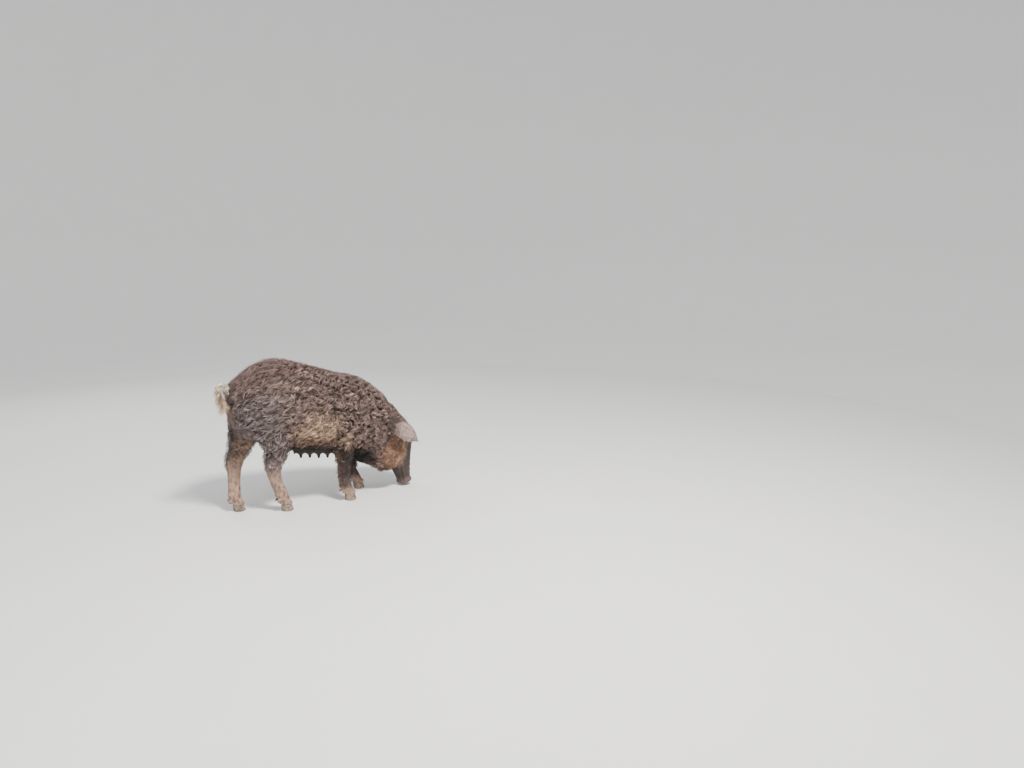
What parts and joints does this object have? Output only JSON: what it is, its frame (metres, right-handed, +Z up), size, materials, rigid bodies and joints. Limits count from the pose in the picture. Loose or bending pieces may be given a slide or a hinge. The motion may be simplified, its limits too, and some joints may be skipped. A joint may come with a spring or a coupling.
{
  "type": "mangalica pig",
  "caption": "Still life-size sow of a curly-coated pig breed, standing with an arched back and her head down to feed, lop ears and a curled, tasselled tail.",
  "frame": {"origin": "middle of the underside of the whole animal's box, on the floor she stands on", "axes": "+X towards her snout, +Y to her left side, +Z up"},
  "size_m": [1.1026, 0.436, 0.8243],
  "materials": {
    "coat": "curly brown-grey bristle",
    "face": "short hair over grey-pink skin",
    "ear": "thin hair over grey-pink skin",
    "horn": "dark muddy hoof horn",
    "eye": "wet dark brown"
  },
  "bodies": {
    "root": {"torso_rump": "coat", "torso_barrel": "coat", "torso_shoulder": "coat", "neck": "coat", "tail": "coat", "head": "face", "ear_right": "ear", "ear_left": "ear", "eye_right": "eye", "eye_left": "eye", "leg_hind_right": "coat", "leg_hind_left": "coat", "leg_fore_right": "coat", "leg_fore_left": "coat", "claw_hind_right_outer": "horn", "claw_hind_right_inner": "horn", "claw_hind_left_outer": "horn", "claw_hind_left_inner": "horn", "claw_fore_right_outer": "horn", "claw_fore_right_inner": "horn", "claw_fore_left_outer": "horn", "claw_fore_left_inner": "horn", "dewclaw_hind_right_outer": "horn", "dewclaw_hind_right_inner": "horn", "dewclaw_hind_left_outer": "horn", "dewclaw_hind_left_inner": "horn", "dewclaw_fore_right_outer": "horn", "dewclaw_fore_right_inner": "horn", "dewclaw_fore_left_outer": "horn", "dewclaw_fore_left_inner": "horn"}
  },
  "joints": []
}
